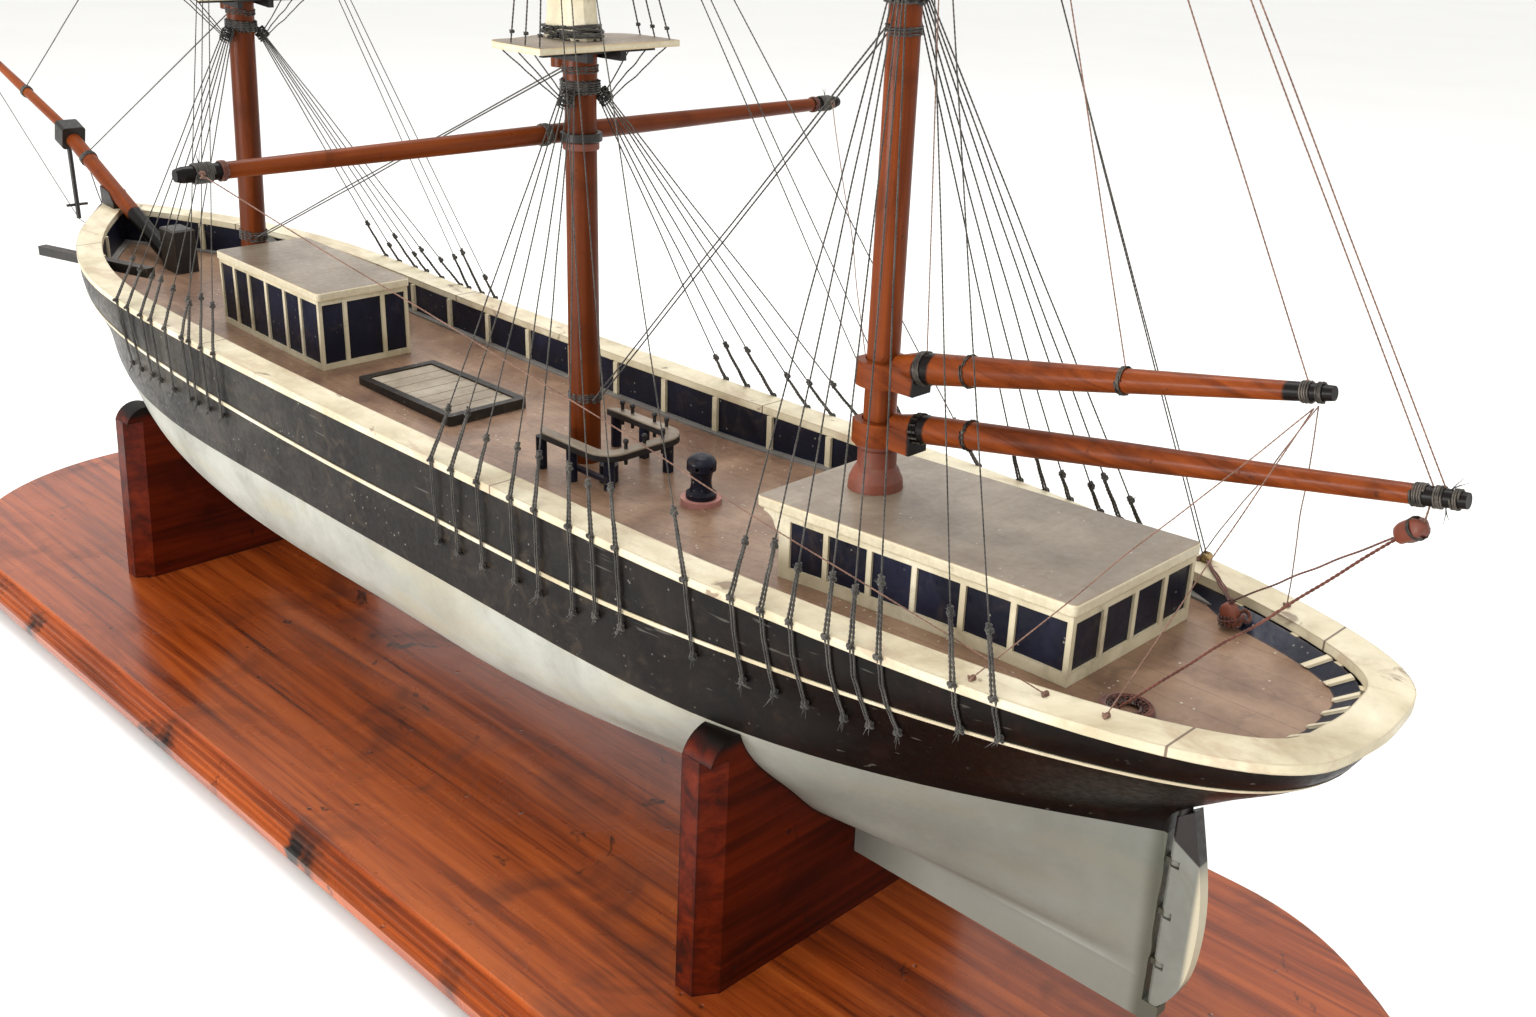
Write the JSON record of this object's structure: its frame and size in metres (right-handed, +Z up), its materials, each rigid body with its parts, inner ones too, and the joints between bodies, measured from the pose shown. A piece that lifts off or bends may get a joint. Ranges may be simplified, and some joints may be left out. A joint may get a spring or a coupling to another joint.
{
  "type": "wooden sailing ship model",
  "caption": "Wooden display model of a three-masted barque with bare poles and thread rigging, held in two cut-out cradles on a moulded oval-ended baseboard.",
  "frame": {"origin": "on the table, under the middle of the baseboard", "axes": "+X towards the bow, +Y to port, +Z up"},
  "size_m": [0.9679, 0.294, 0.577],
  "materials": {
    "mahogany": "gloss",
    "pale_wood": "matte",
    "brass": "satin",
    "black_paint": "satin",
    "grey_paint": "matte",
    "cream_paint": "satin",
    "deck_wood": "satin",
    "navy_paint": "satin",
    "grey_trim": "matte",
    "black_trim": "satin",
    "roof_paint": "satin",
    "rose_paint": "matte",
    "spar_wood": "gloss",
    "red_paint": "satin",
    "black_thread": "matte",
    "brown_thread": "matte"
  },
  "bodies": {
    "ship_and_stand": {"aft_cabin_frames": "cream_paint", "aft_cabin_roof": "roof_paint", "aft_cabin_walls": "navy_paint", "backstays_and_topmast_shrouds": "black_thread", "baseboard": "mahogany", "board_battens": "pale_wood", "boom_sheet": "brown_thread", "bowsprit": "spar_wood", "bowsprit_bitts": "black_trim", "bowsprit_cap": "black_trim", "bulwark_lining": "navy_paint", "bulwark_stanchions": "cream_paint", "cap_rail": "cream_paint", "caps_and_crosstrees": "black_trim", "capstan_base": "rose_paint", "catheads": "black_trim", "cradle_aft": "mahogany", "cradle_fore": "mahogany", "deck": "deck_wood", "dolphin_striker": "black_trim", "fife_rail": "roof_paint", "fife_rail_legs": "black_trim", "fore_house_frames": "cream_paint", "fore_house_roof": "roof_paint", "fore_house_walls": "navy_paint", "fore_lower_mast": "spar_wood", "fore_shrouds": "black_thread", "gaff_vangs": "brown_thread", "hatch_coaming": "black_trim", "hatch_cover": "deck_wood", "hull_dowels": "pale_wood", "hull_lower": "grey_paint", "hull_stripe": "cream_paint", "hull_upper": "black_paint", "jibboom": "spar_wood", "keel": "grey_paint", "main_lower_mast": "spar_wood", "main_shrouds": "black_thread", "mast_bands": "red_paint", "mast_tops": "roof_paint", "mizzen_mast": "spar_wood", "mizzen_shrouds": "black_thread", "rudder_gudgeons": "grey_paint", "stand_screws": "brass", "stays": "black_thread", "stern_tackle": "red_paint", "topgallant_masts": "spar_wood", "topmasts": "spar_wood", "upper_yards": "spar_wood", "waterway": "grey_trim", "yard_braces": "brown_thread"},
    "rudder": {"rudder": "grey_paint"},
    "boom": {"boom": "spar_wood", "boom_tackle": "brown_thread"},
    "gaff": {"gaff": "spar_wood", "gaff_halliards": "brown_thread"},
    "main_yard": {"main_yard": "spar_wood", "yard_parrel": "black_trim"},
    "capstan": {"capstan": "black_trim"}
  },
  "joints": [
    {"name": "rudder_hinge", "type": "hinge", "parent": "ship_and_stand", "child": "rudder", "pos_m": [-0.3273, 0, 0.09], "axis": [0, 0, 1], "range_deg": [-35, 35]},
    {"name": "boom_swing", "type": "hinge", "parent": "ship_and_stand", "child": "boom", "pos_m": [-0.205, 0, 0.2], "axis": [0, 0, 1], "range_deg": [-25, 25], "deforming": ["boom_sheet"]},
    {"name": "gaff_swing", "type": "hinge", "parent": "ship_and_stand", "child": "gaff", "pos_m": [-0.205, 0, 0.22], "axis": [0, 0, 1], "range_deg": [-20, 20], "deforming": ["gaff_vangs"]},
    {"name": "yard_bracing", "type": "hinge", "parent": "ship_and_stand", "child": "main_yard", "pos_m": [-0.0576, 0, 0.2738], "axis": [0, 0, 1], "range_deg": [-15, 15], "deforming": ["yard_braces"]},
    {"name": "capstan_turn", "type": "hinge", "parent": "ship_and_stand", "child": "capstan", "pos_m": [-0.1237, 0, 0.16], "axis": [0, 0, 1], "continuous": true}
  ]
}
